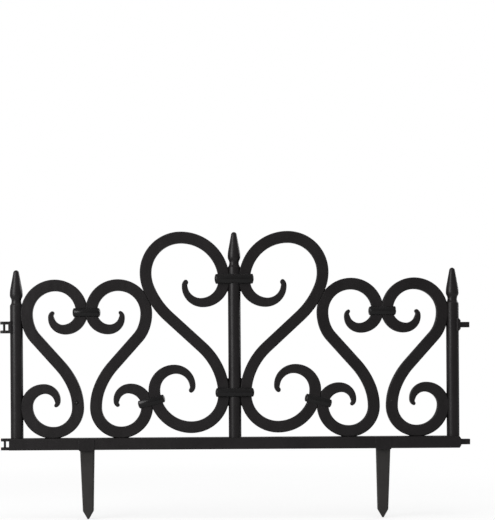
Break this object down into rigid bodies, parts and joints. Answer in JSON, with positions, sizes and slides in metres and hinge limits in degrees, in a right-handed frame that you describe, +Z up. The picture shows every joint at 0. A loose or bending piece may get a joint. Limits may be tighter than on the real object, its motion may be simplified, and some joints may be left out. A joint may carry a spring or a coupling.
{
  "type": "garden edging fence panel",
  "caption": "Low garden edging fence panel of scrolled hearts between turned posts on a rail, with ground stakes and clip links at both ends.",
  "frame": {"origin": "centre of the bottom rail's underside, at ground level midway between the end posts", "axes": "+X along the panel towards the hook end, +Z up, the front faces -Y"},
  "size_m": [0.6112, 0.02, 0.3731],
  "materials": {
    "black_resin": "satin"
  },
  "bodies": {
    "root": {"bottom_rail": "black_resin", "left_post": "black_resin", "centre_post": "black_resin", "right_post": "black_resin", "left_heart_left_scroll": "black_resin", "left_heart_right_scroll": "black_resin", "centre_heart_left_scroll": "black_resin", "centre_heart_right_scroll": "black_resin", "right_heart_left_scroll": "black_resin", "right_heart_right_scroll": "black_resin", "left_heart_band": "black_resin", "right_heart_band": "black_resin", "centre_upper_band": "black_resin", "centre_lower_band": "black_resin", "left_link_band": "black_resin", "right_link_band": "black_resin", "left_stake": "black_resin", "right_stake": "black_resin", "upper_link_eye": "black_resin", "lower_link_eye": "black_resin", "upper_link_hook": "black_resin", "lower_link_hook": "black_resin"}
  },
  "joints": []
}
